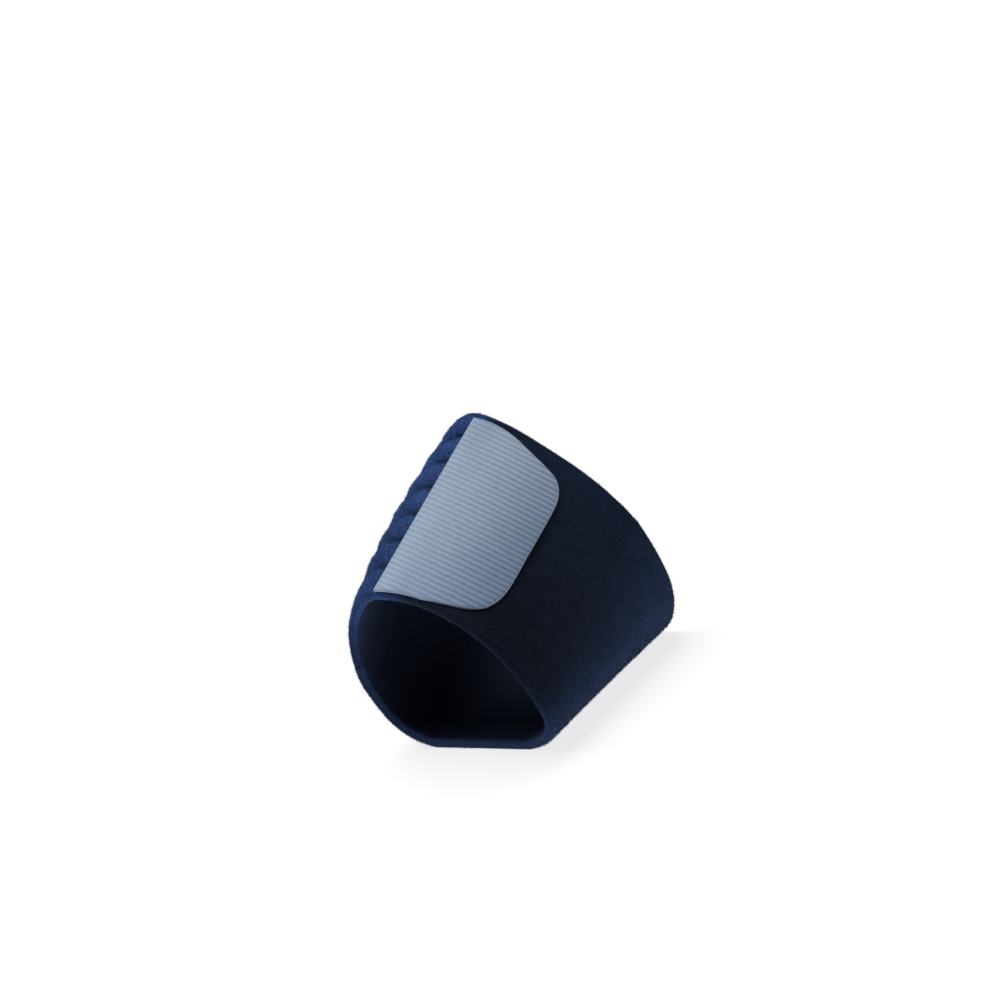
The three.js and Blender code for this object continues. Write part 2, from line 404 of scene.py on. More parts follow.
def wall_section(place):
    """Distance across and depth of the wall's section at a place along it, from toe front to heel front.

    Both ends are alike: depth falls evenly over the flat front, then as a quarter circle, and stays zero.
    """
    from_end = np.minimum(place, SECTION - place)
    turn = np.clip((from_end - FRONT_HALF) / LIP_ROUND, 0, math.pi / 2)
    inset = LIP_ROUND * (1 - np.cos(turn)) + np.maximum(from_end - FRONT_HALF - QUARTER, 0)
    depth = np.maximum(FRONT_HALF - from_end, 0) + LIP_ROUND * (1 - np.sin(turn))
    across = np.where(place < SECTION / 2, inset, BAND_WIDTH - inset)
    return across, depth


def on_section(arc, place):
    """Arc length, distance across and depth for every arc length and place, in arrays of one shape."""
    return np.broadcast_arrays(arc, *wall_section(place))


def section_places(step):
    """Places along the section: close ones on both lips, even steps on the face between them."""
    lip_end = FRONT_HALF + QUARTER
    lip = np.linspace(FRONT_HALF / 2, lip_end, LIP_ROWS + 1)[:-1]
    face = np.linspace(lip_end, SECTION - lip_end, round((SECTION - 2 * lip_end) / step))
    return np.concatenate([lip, face, SECTION - lip[::-1]])


def seam_groove(arc):
    """Depth of the rounded edge of both panels at the outer seam: a quarter circle over its own radius."""
    left = np.clip(1 - np.minimum(arc, GIRTH - arc) / SEAM_GROOVE, 0, 1)
    return SEAM_GROOVE * (1 - np.sqrt(1 - left * left))


def soft_waves(u, v, length, seed):
    """Smooth random swells of about -1 to 1: twice the mean of plane waves with random headings."""
    draw = np.random.default_rng(seed)
    heading = draw.uniform(0, 2 * math.pi, WAVE_COUNT)
    start = draw.uniform(0, 2 * math.pi, WAVE_COUNT)
    run = u[..., None] * np.cos(heading) + v[..., None] * np.sin(heading)
    return np.sin(run * (2 * math.pi / length) + start).mean(axis=-1) * 2


def plush_lift(arc, across):
    """How far the worn plush stands off its smooth shape: a sum of swells, none at seams or on the sole."""
    height = outer_face(angle_at(arc), across / BAND_WIDTH)[..., 2]
    from_seam = smooth_step(arc, 0, SEAM_HOLD) * smooth_step(CLOSING_ARC - arc, 0, SEAM_HOLD)
    swells = sum(
        row["height"] * soft_waves(arc, across, row["length"], PLUSH_WAVE_SEED + k)
        for k, row in enumerate(PLUSH_SWELLS))
    return from_seam * smooth_step(height, *SOLE_HOLD) * swells


def plush_surface(arc, place):
    """The plush cuff's outer side: the wall's section carried round the foot, raised by its swells."""
    arc, across, depth = on_section(arc, place)
    return below(angle_at(arc), across / BAND_WIDTH, depth + seam_groove(arc) - plush_lift(arc, across))


def plush_lining(arc, place):
    """The plush cuff's smooth inner side: the wall's section turned inwards at the wall's full depth."""
    arc, across, depth = on_section(arc, place)
    return below(angle_at(arc), across / BAND_WIDTH, WALL - depth)


# Quilting


def cubic_weights(place, count):
    """The first of the four grid lines nearest to a place, and the weights of a cubic through all four."""
    second = np.clip(np.floor(place).astype(int), 1, count - 3)
    t = np.clip(place - second, 0, 1)
    cubic = (((2 - t) * t - 1) * t, (3 * t - 5) * t * t + 2, ((4 - 3 * t) * t + 1) * t, (t - 1) * t * t)
    return second - 1, [part / 2 for part in cubic]


def smooth_lookup(grid, column, row):
    """Reads a grid between its points: the weighted sum of the four nearest columns and rows."""
    first_column, by_column = cubic_weights(column, grid.shape[0])
    first_row, by_row = cubic_weights(row, grid.shape[1])
    return sum(
        column_weight * row_weight * grid[first_column + i, first_row + k]
        for i, column_weight in enumerate(by_column)
        for k, row_weight in enumerate(by_row))


def quads(*corners):
    """Faces with four corners each, from four arrays of point numbers."""
    return np.stack(corners, axis=-1).reshape(-1, 4)


def new_object(name, points, faces):
    """A mesh object in the scene, from points in metres and a list of faces."""
    mesh = bpy.data.meshes.new(name)
    mesh.from_pydata(points.tolist(), [], faces)
    made = bpy.data.objects.new(name, mesh)
    bpy.context.scene.collection.objects.link(made)
    return made


class Quilting:
    """The quilted panel's channels, from the width of a channel and the depth of the stitching."""

    def __init__(self, step, sink):
        self.sink = sink
        self.lines = FIRST_STITCH + step * np.arange(STITCH_LINES)
        self.column = STITCH_PITCH / COLUMNS_A_STITCH
        self.row = step / ROWS_A_CHANNEL
        self.first_arc = TAB_EDGE_ARC - QUILT_LEAD
        self.rows_before = int(FIRST_STITCH / self.row)
        self.first_across = FIRST_STITCH - self.rows_before * self.row
        columns = int((GIRTH - self.first_arc) / self.column) + 1
        rows = self.rows_before + int((BAND_WIDTH - FIRST_STITCH) / self.row) + 1
        sheet = self.low_arches(columns, rows)
        puff = self.puffed(sheet)
        self.puff = puff / np.percentile(puff, PUFF_LEVEL)

    def low_arches(self, columns, rows):
        """Heights of the sheet before it is puffed: half ellipses between the stitch lines."""
        across = self.first_across + self.row * np.arange(rows)
        borders = np.concatenate([across[:1], self.lines, across[-1:]])
        channel = np.clip(np.searchsorted(borders, across, side="right") - 1, 0, STITCH_LINES)
        part = 2 * (across - borders[channel]) / (borders[channel + 1] - borders[channel]) - 1
        return np.tile(LOW_ARCH * np.sqrt(np.maximum(1 - part * part, 0)), (columns, 1))

    def puffed(self, sheet):
        """Heights after a cloth simulation: air pushes spare cloth out, needle holes and borders stay put.

        The thread holds the cloth more softly between the holes. The result is smoothed along the channels.
        """
        columns, rows = sheet.shape
        row = np.arange(rows) - self.rows_before
        on_line = (row % ROWS_A_CHANNEL == 0) & (row >= 0) & (row < STITCH_LINES * ROWS_A_CHANNEL)
        pinned = on_line & (np.arange(columns) % COLUMNS_A_STITCH == 0)[:, None]
        pinned[[0, -1]] = True
        pinned[:, [0, -1]] = True
        noise = np.random.default_rng(PUFF_SEED).normal(0, PUFF_NOISE, sheet.shape)
        height = np.where(pinned, 0, sheet + noise)
        u, v = np.meshgrid(np.arange(columns) * self.column, np.arange(rows) * self.row, indexing="ij")
        points = np.stack([u, v, height], axis=-1).reshape(-1, 3) * PUFF_SCALE
        index = np.arange(columns * rows).reshape(columns, rows)
        faces = quads(index[:-1, :-1], index[1:, :-1], index[1:, 1:], index[:-1, 1:])
        cloth = new_object("quilt_sheet", points, faces.tolist())
        held = cloth.vertex_groups.new(name="held")
        held.add(np.flatnonzero(on_line & ~pinned).tolist(), LINE_HOLD, "REPLACE")
        held.add(np.flatnonzero(pinned).tolist(), 1.0, "REPLACE")
        self.set_cloth(cloth.modifiers.new("puff", "CLOTH"))
        scene = bpy.context.scene
        for number in range(1, PUFF_FRAMES + 1):
            scene.frame_set(number)
        swollen = cloth.evaluated_get(bpy.context.evaluated_depsgraph_get()).data
        result = np.empty(points.size)
        swollen.vertices.foreach_get("co", result)
        mesh = cloth.data
        bpy.data.objects.remove(cloth)
        bpy.data.meshes.remove(mesh)
        scene.frame_set(1)
        height = np.clip(result.reshape(columns, rows, 3)[..., 2] / PUFF_SCALE, -PUFF_CAP, PUFF_CAP)
        height[1:-1] = (height[:-2] + 2 * height[1:-1] + height[2:]) / 4
        return height

    def set_cloth(self, puff):
        """Cloth with a little spare length, blown up from behind, without weight."""
        for name, value in PUFF_CLOTH.items():
            setattr(puff.settings, name, value)
        puff.settings.vertex_group_mass = "held"
        puff.settings.effector_weights.gravity = 0
        puff.collision_settings.use_collision = False
        puff.point_cache.frame_start = 1
        puff.point_cache.frame_end = PUFF_FRAMES

    def share(self, arc, across):
        """Share of the band's width where a row lies once it has drifted towards the heel.

        The drift grows as 1 - exp(-length) from the tab, and fills a part of the room left to the heel.
        """
        from_tab = np.maximum(arc - TAB_EDGE_ARC, 0)
        shift = STITCH_DRIFT * (1 - np.exp(-from_tab / DRIFT_LENGTH))
        room = np.maximum(DRIFT_SHARE * (BAND_WIDTH - LIP_ROUND - across), LEAST_ROOM)
        drift = room * (1 - np.exp(-shift / room)) * smooth_step(across, LIP_ROUND, FIRST_STITCH)
        return (across + drift) / BAND_WIDTH

    def relief(self, arc, across):
        """How much of the quilting shows: none under most of the tab, at the outer seam and on the lips."""
        from_lip = np.minimum(across, BAND_WIDTH - across)
        along = smooth_step(arc - self.first_arc, *LEAD_FADE) * smooth_step(GIRTH - arc, 0, SEAM_FADE)
        return along * smooth_step(from_lip, *LIP_FADE)

    def groove(self, arc, across):
        """How far a place lies in a stitch groove: 1 on the line, falling as a bell, wider to the heel."""
        away = across[..., None] - self.lines
        nearest = np.abs(away).argmin(axis=-1)[..., None]
        away = np.take_along_axis(away, nearest, axis=-1)[..., 0]
        width = np.where(away > 0, GROOVE_HEELWARD, GROOVE_TOEWARD)
        return np.exp(-(away / width) ** 2) * self.relief(arc, across)

    def height(self, arc, across):
        """Height of the puffed channels: capped crowns above the cuff's face, less the stitch grooves.

        The tape holds the cloth down beside it, and the heel edge is fuller near the tab.
        """
        column = (arc - self.first_arc) / self.column
        row = (across - self.first_across) / self.row
        puff = smooth_lookup(self.puff, column, row)
        from_tab = arc - TAB_EDGE_ARC
        free = smooth_step(from_tab, 0, TAB_HOLD)
        crown = np.minimum((PILLOW_HEIGHT + self.sink) * puff - self.sink, CROWN_CAP * free)
        by_heel = smooth_step(across, *FULL_ACROSS) * free * (1 - smooth_step(from_tab, *FULL_FADE))
        crease = CREASE_DEPTH * self.groove(arc, across)
        return crown * self.relief(arc, across) - crease + HEEL_FULLNESS * by_heel

    def surface(self, arc, place):
        """The panel's outer side: the wall's section carried round the foot, raised by its channels."""
        arc, across, depth = on_section(arc, place)
        lift = self.height(arc, across) * (1 - 2 * depth / WALL)
        return below(angle_at(arc), self.share(arc, across), depth + seam_groove(arc) - lift)

    def lining(self, arc, place):
        """The panel's smooth inner side."""
        arc, across, depth = on_section(arc, place)
        return below(angle_at(arc), self.share(arc, across), WALL - depth)


@lru_cache(maxsize=None)
def quilting_of(step, sink):
    """The quilting for a channel width and a stitch depth in metres, worked out once."""
    return Quilting(step / MM, sink / MM)


# Meshes


def make_piece(name, points, faces, layer, values, finish):
    """A piece of the band at the origin, with one vector layer that its finish reads."""
    piece = new_object(name, (points + CUFF_SHIFT) * MM, faces)
    mesh = piece.data
    field = mesh.attributes.new(layer, "FLOAT_VECTOR", "POINT")
    field.data.foreach_set("vector", np.ascontiguousarray(values, dtype=np.float32).ravel())
    mesh.shade_smooth()
    mesh.materials.append(finish)
    if mesh.validate():
        raise RuntimeError(f"{name} has faulty faces")
    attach(piece, "root")
    return piece


def closed_cloth(outer, inner):
    """Points and faces of a closed cloth from two grids, columns by rows.

    Outer rows and then inner rows backwards make one ring, the ring runs over all columns, and a strip of
    faces between the two grids shuts each end.
    """
    columns, rows = outer.shape[:2]
    points = np.concatenate([outer, inner[:, ::-1]], axis=1)
    index = np.arange(columns * 2 * rows).reshape(columns, 2 * rows)
    after = np.roll(index, -1, axis=1)
    mate = index[:, ::-1]
    first, last = np.arange(rows - 1), np.arange(1, rows)
    round_it = quads(index[:-1], after[:-1], after[1:], index[1:])
    start = quads(index[0, first], mate[0, first], mate[0, last], index[0, last])
    end = quads(index[-1, first], index[-1, last], mate[-1, last], mate[-1, first])
    return points.reshape(-1, 3), np.concatenate([round_it, start, end]).tolist()


def painted_pile_light(arc, across):
    """Painted light and shade in the pile's tone.

    The tone rises evenly from the toe edge to the heel edge as painted light. The plush has painted light
    towards the sole and on its toe lip, and the quilted panel has painted shade where it runs under the tab
    and near the outer seam.
    """
    heelward = across / BAND_WIDTH
    soleward = 1 - smooth_step(arc, SOLE_ARC, INSTEP_ARC)
    lip = 1 - smooth_step(across, 0, LIP_LIGHT_FADE)
    uncovered = smooth_step(arc, CLOSING_ARC, TAB_EDGE_ARC)
    to_seam = smooth_step(arc, TAB_EDGE_ARC + SEAM_SHADE_LEAD, GIRTH)
    plush = between(TOE_PAINTED_LIGHT, HEEL_PAINTED_LIGHT, heelward)
    plush = plush + between(SOLE_TOE_PAINTED_LIGHT, SOLE_HEEL_PAINTED_LIGHT, heelward) * soleward + LIP_PAINTED_LIGHT * lip
    quilt = between(QUILT_TOE_PAINTED_LIGHT, QUILT_HEEL_PAINTED_LIGHT, heelward)
    quilt = quilt * between(COVERED_PAINTED_SHADE, 1, uncovered) * between(1, SEAM_PAINTED_SHADE, to_seam)
    return np.where(arc > CLOSING_ARC, quilt, plush)


def cloth_layer(arc, place, tone):
    """The layer of a closed cloth: arc length, place round the section, and pile tone with its painted
    light and shade, or a mark inside.

    The inner side's places run on from the outer side's at both lips. The pile covers the lips, so the mark
    stands only where the inner side has turned the corner.
    """
    depth = wall_section(place)[1]
    inner_place = np.where(place < SECTION / 2, -place, 2 * SECTION - place)
    arc, place, inner_place, depth, tone = np.broadcast_arrays(arc, place, inner_place, depth, tone)
    outer = np.stack([arc, place, tone], axis=-1)
    inner = np.stack([arc, inner_place, np.where(depth > LINING_DEPTH, tone, INSIDE)], axis=-1)
    return np.concatenate([outer, inner[:, ::-1]], axis=1).reshape(-1, 3)


def make_cloth(name, surface, lining, ends, step, shade, finish):
    """A panel of the cuff as closed cloth, from its two sides. shade() gives the pile's tone at a place,
    with its painted light and shade.
    """
    columns = round((ends[1] - ends[0] + 2 * BUTT_GAP) / step)
    arc = np.linspace(*ends, columns)[:, None]
    place = section_places(step)
    points, faces = closed_cloth(surface(arc, place), lining(arc, place))
    layer = cloth_layer(arc, place, shade(*on_section(arc, place)[:2]))
    return make_piece(name, points, faces, "cloth", layer, finish)


def clumps(arc, across, size, draw):
    """Random tones of 0 to 1 that neighbours share: a grid of random numbers, smooth between its points."""
    column, row = arc / size + 2, across / size + 2
    grid = draw.uniform(0, 1, (int(column.max()) + 4, int(row.max()) + 4))
    return np.clip(smooth_lookup(grid, column, row), 0, 1)


def make_pile(name, surface, ends, count, settings, seed, trim, finish):
    """Short leaning spikes on a surface: three root corners round a point and a tip along a tilted normal.

    Roots are spread one to each cell of an even grid, moved at random inside it. trim() gives the share of
    its length that a tuft keeps. Tufts that keep too little, or would reach into the floor, are left out.
    """
    draw = np.random.default_rng(seed)
    length = ends[1] - ends[0]
    columns = round(math.sqrt(count * length / SECTION))
    rows = round(count / columns)
    column, row = np.meshgrid(np.arange(columns), np.arange(rows), indexing="ij")
    spot = draw.uniform(0, 1, (2, columns, rows))
    arc = (ends[0] + (column + spot[0]) * length / columns).ravel()
    place = ((row + spot[1]) * SECTION / rows).ravel()
    across = wall_section(place)[0]
    root = surface(arc, place)
    round_it = surface(arc + ROOT_STEP, place) - surface(arc - ROOT_STEP, place)
    next_place, last_place = np.minimum(place + ROOT_STEP, SECTION), np.maximum(place - ROOT_STEP, 0)
    along = surface(arc, next_place) - surface(arc, last_place)
    out = unit(np.cross(along, round_it))
    lean = draw.normal(0, LEAN_SPREAD, (2, arc.size, 1))
    direction = unit(out + unit(round_it) * lean[0] + unit(along) * (lean[1] + BRUSHED_LEAN))
    kept = trim(arc, across, root, out)
    tall = settings.pile_length / MM * draw.uniform(*TUFT_LENGTHS, arc.size) * kept
    side = unit(np.cross(direction, unit(along)))
    front = np.cross(direction, side)
    turn = draw.uniform(0, 2 * math.pi, arc.size)[:, None] + np.arange(3) * (2 * math.pi / 3)
    ring = np.cos(turn)[..., None] * side[:, None] + np.sin(turn)[..., None] * front[:, None]
    radius = settings.pile_width / MM / 2
    corners = (root - out * radius)[:, None] + ring * radius
    tip = root + direction * tall[:, None]
    points = np.concatenate([corners, tip[:, None]], axis=1)
    tone = OWN_TONE * draw.uniform(0, 1, arc.size)
    tone = tone + CLUMP_TONE * clumps(arc - arc.min(), across, CLUMP_SIZE, draw)
    # The tone carries the pile's painted light and shade
    tone = np.clip(TONE_GAIN * tone - TONE_DROP, 0, 1) * painted_pile_light(arc, across)
    layer = np.zeros(points.shape)
    # Tufts that keep less of their length are painted darker: painted shade in the stitch grooves and near
    # the floor
    layer[..., 0] = (tone * kept)[:, None]
    layer[:, 3, 1] = 1
    chosen = (kept > LEAST_TUFT) & (tip[:, 2] > 0) & (root[:, 2] > 0)
    points, layer = points[chosen].reshape(-1, 3), layer[chosen].reshape(-1, 3)
    first = np.arange(0, len(points), 4)[:, None, None]
    faces = first + np.array([[0, 1, 3], [1, 2, 3], [2, 0, 3], [0, 2, 1]])
    return make_piece(name, points, faces.reshape(-1, 3).tolist(), "tuft", layer, finish)


def smooth_curve(points, count):
    """A curve through points, cubic between each pair, with slopes from the points on either side."""
    padded = np.concatenate([points[:1], points, points[-1:]])
    at = np.linspace(0, len(points) - 1, count)
    first = np.minimum(at.astype(int), len(points) - 2)
    t = (at - first)[:, None]
    before, start, end, after = (padded[first + k] for k in range(4))
    slope_in = (end - before) / 2
    slope_out = (after - start) / 2
    bend = 2 * start - 2 * end + slope_in + slope_out
    return ((bend * t + (3 * end - 3 * start - 2 * slope_in - slope_out)) * t + slope_in) * t + start


TAB_CURVE = smooth_curve(np.array([[row["across"], row["reach"]] for row in TAB_OUTLINE]), CURVE_STEPS)
TAB_TOE, TAB_HEEL = TAB_CURVE[0, 0], TAB_CURVE[-1, 0]


def tab_reach(across):
    """The tab's reach round the foot at a distance across."""
    return np.interp(across, TAB_CURVE[:, 0], TAB_CURVE[:, 1])


def under_tab(arc, across):
    """Where the tab covers the cuff, grown by a spare distance."""
    beside = (across > TAB_TOE - TAB_SPARE) & (across < TAB_HEEL + TAB_SPARE)
    free_end = TAB_EDGE_ARC - (tab_reach(across) + TAB_SPARE)
    return beside & (arc < TAB_EDGE_ARC + TAB_SPARE) & (arc > free_end)


def tab_angles(rows, shares):
    """Angles at even shares of the tab's reach, one line for each row, with the sewn edge last."""
    angles = np.linspace(TAB_EDGE, 0, CURVE_STEPS)
    arcs = lengths_along(outer_face(angles[None], rows[:, None] / BAND_WIDTH))
    reach = tab_reach(rows)
    return np.stack([np.interp(reach[k] * shares, arcs[k], angles) for k in range(len(rows))], axis=1)


def tab_grids(settings):
    """The tab's two grids, and its layer: distances from the sewn edge, along the rib axis and to the cut.

    Ribs are raised cosines along their axis. They and the tape's thickness fall off over the sealed margin.
    """
    pitch = settings.rib_pitch / MM
    rows = np.linspace(TAB_TOE, TAB_HEEL, round((TAB_HEEL - TAB_TOE) / pitch * ROWS_A_RIB))
    reach = tab_reach(rows)
    margin = SEALED_MARGIN / reach.min()
    close_shares = [margin * k / MARGIN_STEPS for k in range(MARGIN_STEPS + 1)]
    shares = np.unique(np.concatenate([np.linspace(0, 1, TAB_COLUMNS), close_shares]))[::-1]
    angle = tab_angles(rows, shares)
    across = np.broadcast_to(rows, angle.shape)
    from_sewn = shares[:, None] * reach
    slope = np.gradient(reach, rows)
    to_free = (reach - from_sewn) / np.sqrt(1 + slope * slope)
    to_side = np.minimum(across - TAB_TOE, TAB_HEEL - across)
    to_cut = np.minimum(np.minimum(from_sewn, to_free), to_side)
    inner = below(angle, across / BAND_WIDTH, -TAB_CLEARANCE)
    along_axis = inner @ RIB_AXIS
    rib = 0.5 - 0.5 * np.cos(2 * math.pi * along_axis / pitch)
    full = smooth_step(to_cut, 0, SEALED_MARGIN)
    tape = settings.thickness / MM * between(CUT_THICKNESS, 1, full)
    raised = settings.rib_height / MM * rib * between(CUT_RIBS, 1, full)
    outer = below(angle, across / BAND_WIDTH, -(TAB_CLEARANCE + tape + raised))
    layer = np.stack([from_sewn, along_axis, to_cut], axis=-1)
    return outer, inner, np.concatenate([layer, layer[:, ::-1]], axis=1).reshape(-1, 3)


def stitch_tubes(quilting, width):
    """Thread stitches: a round section carried along each line in a low arc, its ends sunk in the cloth."""
    draw = np.random.default_rng(THREAD_SEED)
    count = int((GIRTH - SEAM_FADE - TAB_EDGE_ARC) / STITCH_PITCH)
    line, number = np.meshgrid(np.arange(STITCH_LINES), np.arange(count), indexing="ij")
    share = np.linspace(0, 1, STITCH_RINGS)
    length = STITCH_PITCH * draw.uniform(*STITCH_FILL, line.shape)
    start = TAB_EDGE_ARC + number * STITCH_PITCH + (STITCH_PITCH - length) * draw.uniform(0, 1, line.shape)
    arc = (start[..., None] + share * length[..., None]).reshape(-1, STITCH_RINGS)
    across = np.broadcast_to(quilting.lines[line].reshape(-1, 1), arc.shape)
    angle = angle_at(arc)
    place = quilting.share(arc, across)
    depth = width * (STITCH_DIP - STITCH_RISE * np.sin(math.pi * share)) - quilting.height(arc, across)
    centre = below(angle, place, depth)
    along = unit(np.gradient(centre, axis=1))
    out = unit(below(angle, place, depth - 1) - centre)
    side = np.cross(along, out)
    turn = np.linspace(0, 2 * math.pi, STITCH_SIDES, endpoint=False)
    section = np.cos(turn)[:, None] * out[:, :, None] + np.sin(turn)[:, None] * side[:, :, None]
    radius = width / 2 * np.sqrt(np.clip(1 - (2 * share - 1) ** BLUNT_POWER, LEAST_END, 1))
    points = centre[:, :, None] + section * radius[:, None, None]
    layer = np.zeros(points.shape)
    layer[..., 0] = (share * STITCH_PITCH)[:, None]
    layer[..., 1] = turn / (2 * math.pi)
    index = np.arange(points.size // 3).reshape(-1, STITCH_RINGS, STITCH_SIDES)
    after = np.roll(index, -1, axis=2)
    walls = quads(index[:, :-1], after[:, :-1], after[:, 1:], index[:, 1:])
    ends = np.concatenate([index[:, 0, ::-1], index[:, -1]])
    return points.reshape(-1, 3), walls.tolist() + ends.tolist(), layer.reshape(-1, 3)


# Finishes


class Signal:
    """A node's output in a material. Sums on signals add Math nodes, and node() adds any other node."""

    def __init__(self, tree, socket=None):
        self.tree = tree
        self.socket = socket

    def node(self, kind, settings, inputs, output=0):
        """Adds a node of a kind, sets its settings, then gives its sockets their values or links."""
        made = self.tree.nodes.new(kind)
        for name, value in settings.items():
            setattr(made, name, value)
        for name, value in inputs.items():
            if isinstance(value, Signal):
                self.tree.links.new(value.socket, made.inputs[name])
            else:
                made.inputs[name].default_value = value
        return Signal(self.tree, made.outputs[output])

    def math(self, operation, first, second=0.0):
        return self.node("ShaderNodeMath", {"operation": operation}, {0: first, 1: second})

    def __add__(self, other):
        return self.math("ADD", self, other)

    def __radd__(self, other):
        return self.math("ADD", other, self)

    def __sub__(self, other):
        return self.math("SUBTRACT", self, other)

    def __rsub__(self, other):
        return self.math("SUBTRACT", other, self)

    def __mul__(self, other):
        return self.math("MULTIPLY", self, other)

    def __rmul__(self, other):
        return self.math("MULTIPLY", other, self)

    def step(self, low, high):
        """0 below low, 1 above high, smooth between them."""
        settings = {"interpolation_type": "SMOOTHSTEP"}
        return self.node("ShaderNodeMapRange", settings, {"Value": self, "From Min": low, "From Max": high})

    def wave(self, length, start=0.0):
        """A cosine of this value, from 0 to 1, that repeats at a length."""
        return 0.5 + 0.5 * self.math("COSINE", self * (2 * math.pi / length) + start)

    def layer(self, name):
        """A piece's own vector layer."""
        return self.node("ShaderNodeAttribute", {"attribute_name": name}, {}, "Vector")

    def parts(self):
        """The three parts of a vector."""
        return [self.node("ShaderNodeSeparateXYZ", {}, {0: self}, axis) for axis in "XYZ"]

    def clouds(self, sizes, detail=2.0, roughness=0.5):
        """Cloudy noise over a vector, with its own size along each part."""
        scale = tuple(1 / size for size in sizes)
        scaled = self.node("ShaderNodeVectorMath", {"operation": "MULTIPLY"}, {0: self, 1: scale})
        inputs = {"Vector": scaled, "Scale": 1.0, "Detail": detail, "Roughness": roughness}
        return self.node("ShaderNodeTexNoise", {"noise_dimensions": "3D"}, inputs)

    def mix(self, first, second):
        """The first colour where this value is 0, and the second where it is 1."""
        colours = {0: self, 6: solid(first), 7: solid(second)}
        return self.node("ShaderNodeMix", {"data_type": "RGBA"}, colours, 2)

    def bump(self, distance):
        """A normal tilted by this value as a height, in millimetres."""
        inputs = {"Height": self, "Distance": distance * MM, "Strength": 1.0}
        return self.node("ShaderNodeBump", {}, inputs, "Normal")


def tinted(colour, tint):
    """A colour multiplied by a tint."""
    return [value * share for value, share in zip(colour, tint)]


def shaded(colour, share):
    """A colour made darker or paler by a share."""
    return [share * value for value in colour]


def solid(colour):
    """A colour with its fourth number, or a signal as it is."""
    return colour if isinstance(colour, Signal) else (*colour, 1.0)


def start_finish(name, constants):
    """A new material with one Principled shader and its fixed values, and a first signal in it."""
    finish = bpy.data.materials.new(name)
    finish.use_nodes = True
    shader = finish.node_tree.nodes["Principled BSDF"]
    for socket, value in constants.items():
        shader.inputs[socket].default_value = value
    return finish, Signal(finish.node_tree)


def end_finish(finish, links):
    """Links signals to the sockets of a material's Principled shader."""
    shader = finish.node_tree.nodes["Principled BSDF"]
    for socket, signal in links.items():
        finish.node_tree.links.new(signal.socket, shader.inputs[socket])
    return finish


def gloss(weight, roughness, tint, specular):
    """Fixed shader values of a cloth: its sheen and its low gloss."""
    sheen = {"Sheen Weight": weight, "Sheen Roughness": roughness, "Sheen Tint": solid(tint)}
    return {**sheen, "Specular IOR Level": specular}


def pile_gloss(plush):
    """The pile's blue sheen."""
    return gloss(plush.sheen, 0.3, (0.24, 0.40, 1.0), 0.1)


def pile_cloth_finish(name, settings, plush):
    """Plush between its tufts: speckle and mottling with the pile's tone, which carries painted light and
    shade; inside, a plain fine knit.
    """
    finish, start = start_finish(name, pile_gloss(plush))
    cloth = start.layer("cloth")
    arc, place, tone = cloth.parts()
    speckle = cloth.clouds(SPECKLE_SIZES, roughness=0.6)
    grain = cloth.clouds(PILE_GRAIN_SIZES, detail=1.0)
    mottle = cloth.clouds(MOTTLE_SIZES)
    inside = 1 - tone.step(0.7 * INSIDE, 0.6 * INSIDE)
    knit = place.wave(KNIT_COURSE) * 0.6 + arc.wave(KNIT_WALE) * 0.4
    tip_share = (speckle.step(0.34, 0.68) * 0.65 + mottle * 0.4 - 0.08) * tone
    outer = tip_share.mix(settings.ground, settings.tip)
    inner = (knit * 0.7 + grain * 0.3).mix(shaded(plush.lining, 0.6), plush.lining)
    colour = inside.mix(outer, inner)
    height = (speckle + 0.5 * grain) * (1 - inside) + (0.35 * knit + 0.2 * grain) * inside
    rough = 0.86 + 0.12 * speckle
    return end_finish(finish, {"Base Color": colour, "Roughness": rough, "Normal": height.bump(PILE_BUMP)})


def tuft_finish(name, settings, plush):
    """A tuft of pile: painted shade at its root, lighter at its tip, with a tone of its own that carries
    painted light and shade.
    """
    finish, start = start_finish(name, pile_gloss(plush))
    tone, to_tip, _ = start.layer("tuft").parts()
    colour = (to_tip * (0.1 + 1.3 * tone)).mix(settings.ground, settings.tip)
    return end_finish(finish, {"Base Color": colour, "Roughness": 0.75 + 0.2 * tone})


def thread_finish(settings):
    """Sewing thread: two plies that wind round each other, with a low gloss."""
    finish, start = start_finish("sewing_thread", {"Specular IOR Level": 0.1})
    thread = start.layer("thread")
    along, turn, _ = thread.parts()
    twist = (along * 2.2 + turn * 2.0).wave(1.0)
    fuzz = thread.clouds(FUZZ_SIZES)
    colour = (twist * 0.7 + fuzz * 0.3).mix(shaded(settings.thread, 0.5), shaded(settings.thread, 2))
    rough = 0.55 + 0.2 * fuzz
    return end_finish(finish, {"Base Color": colour, "Roughness": rough, "Normal": twist.bump(THREAD_BUMP)})


